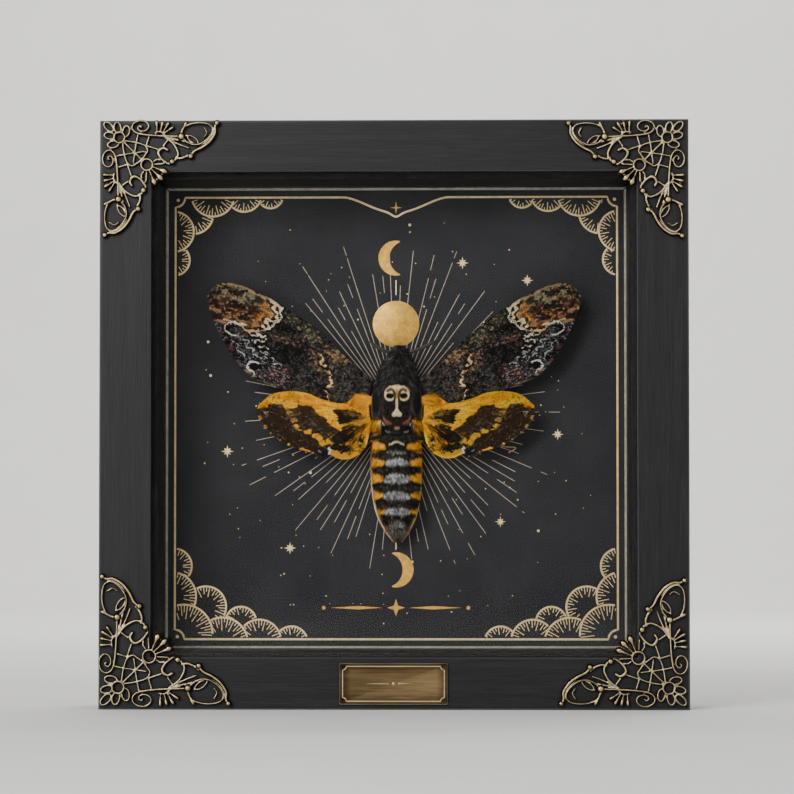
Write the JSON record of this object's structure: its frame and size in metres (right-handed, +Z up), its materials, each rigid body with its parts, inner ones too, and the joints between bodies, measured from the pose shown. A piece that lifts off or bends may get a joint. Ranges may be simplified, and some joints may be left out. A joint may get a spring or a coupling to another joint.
{
  "type": "framed hawkmoth specimen",
  "caption": "Spread deaths head hawkmoth specimen on a printed dark card, sealed in a square black wooden box frame with glass front, cast corner ornaments and a bare name plate.",
  "frame": {"origin": "centre of the bounding box's lower face: the middle of the edge that the frame stands on, half way through its depth, corner ornaments included", "axes": "+Z up along the specimen's body towards its head, -Y out of the glazed front towards the viewer, +X to the viewer's right"},
  "size_m": [0.17, 0.036, 0.17],
  "materials": {
    "black_wood": "black stained, fine grain, satin",
    "clear_glass": "clear, polished",
    "spacer_black": "black painted strip",
    "fillet_black": "black strip with a bright bevelled edge",
    "printed_card": "matte charcoal card with gilt print",
    "backboard": "dark fibreboard",
    "antique_brass": "antique, dark in the hollows",
    "zinc_steel": "zinc plated",
    "dark_fur": "short dense dark hair, stood in for by fabric",
    "banded_abdomen": "short hair banded black, ochre and grey, stood in for by fabric",
    "mottled_forewing": "scaled membrane, mottled dark brown and ochre, stood in for by paper",
    "yellow_hindwing": "scaled membrane, ochre yellow with dark bands, stood in for by paper",
    "dark_horn": "dark horn, stood in for by matte plastic"
  },
  "bodies": {
    "root": {"moulding_top": "black_wood", "moulding_right": "black_wood", "moulding_bottom": "black_wood", "moulding_left": "black_wood", "glass": "clear_glass", "spacer_top": "spacer_black", "spacer_right": "spacer_black", "spacer_bottom": "spacer_black", "spacer_left": "spacer_black", "fillet_top": "fillet_black", "fillet_right": "fillet_black", "fillet_bottom": "fillet_black", "fillet_left": "fillet_black", "card": "printed_card", "backboard": "backboard", "point_top": "zinc_steel", "point_right": "zinc_steel", "point_bottom": "zinc_steel", "point_left": "zinc_steel", "hanger": "zinc_steel", "plaque": "antique_brass", "corner_top_left": "antique_brass", "corner_top_right": "antique_brass", "corner_bottom_left": "antique_brass", "corner_bottom_right": "antique_brass", "head": "dark_fur", "thorax": "dark_fur", "abdomen": "banded_abdomen", "forewing_left": "mottled_forewing", "hindwing_left": "yellow_hindwing", "eye_left": "dark_horn", "antenna_left": "dark_horn", "leg_fore_left": "dark_horn", "leg_middle_left": "dark_horn", "leg_hind_left": "dark_horn", "forewing_right": "mottled_forewing", "hindwing_right": "yellow_hindwing", "eye_right": "dark_horn", "antenna_right": "dark_horn", "leg_fore_right": "dark_horn", "leg_middle_right": "dark_horn", "leg_hind_right": "dark_horn"}
  },
  "joints": []
}
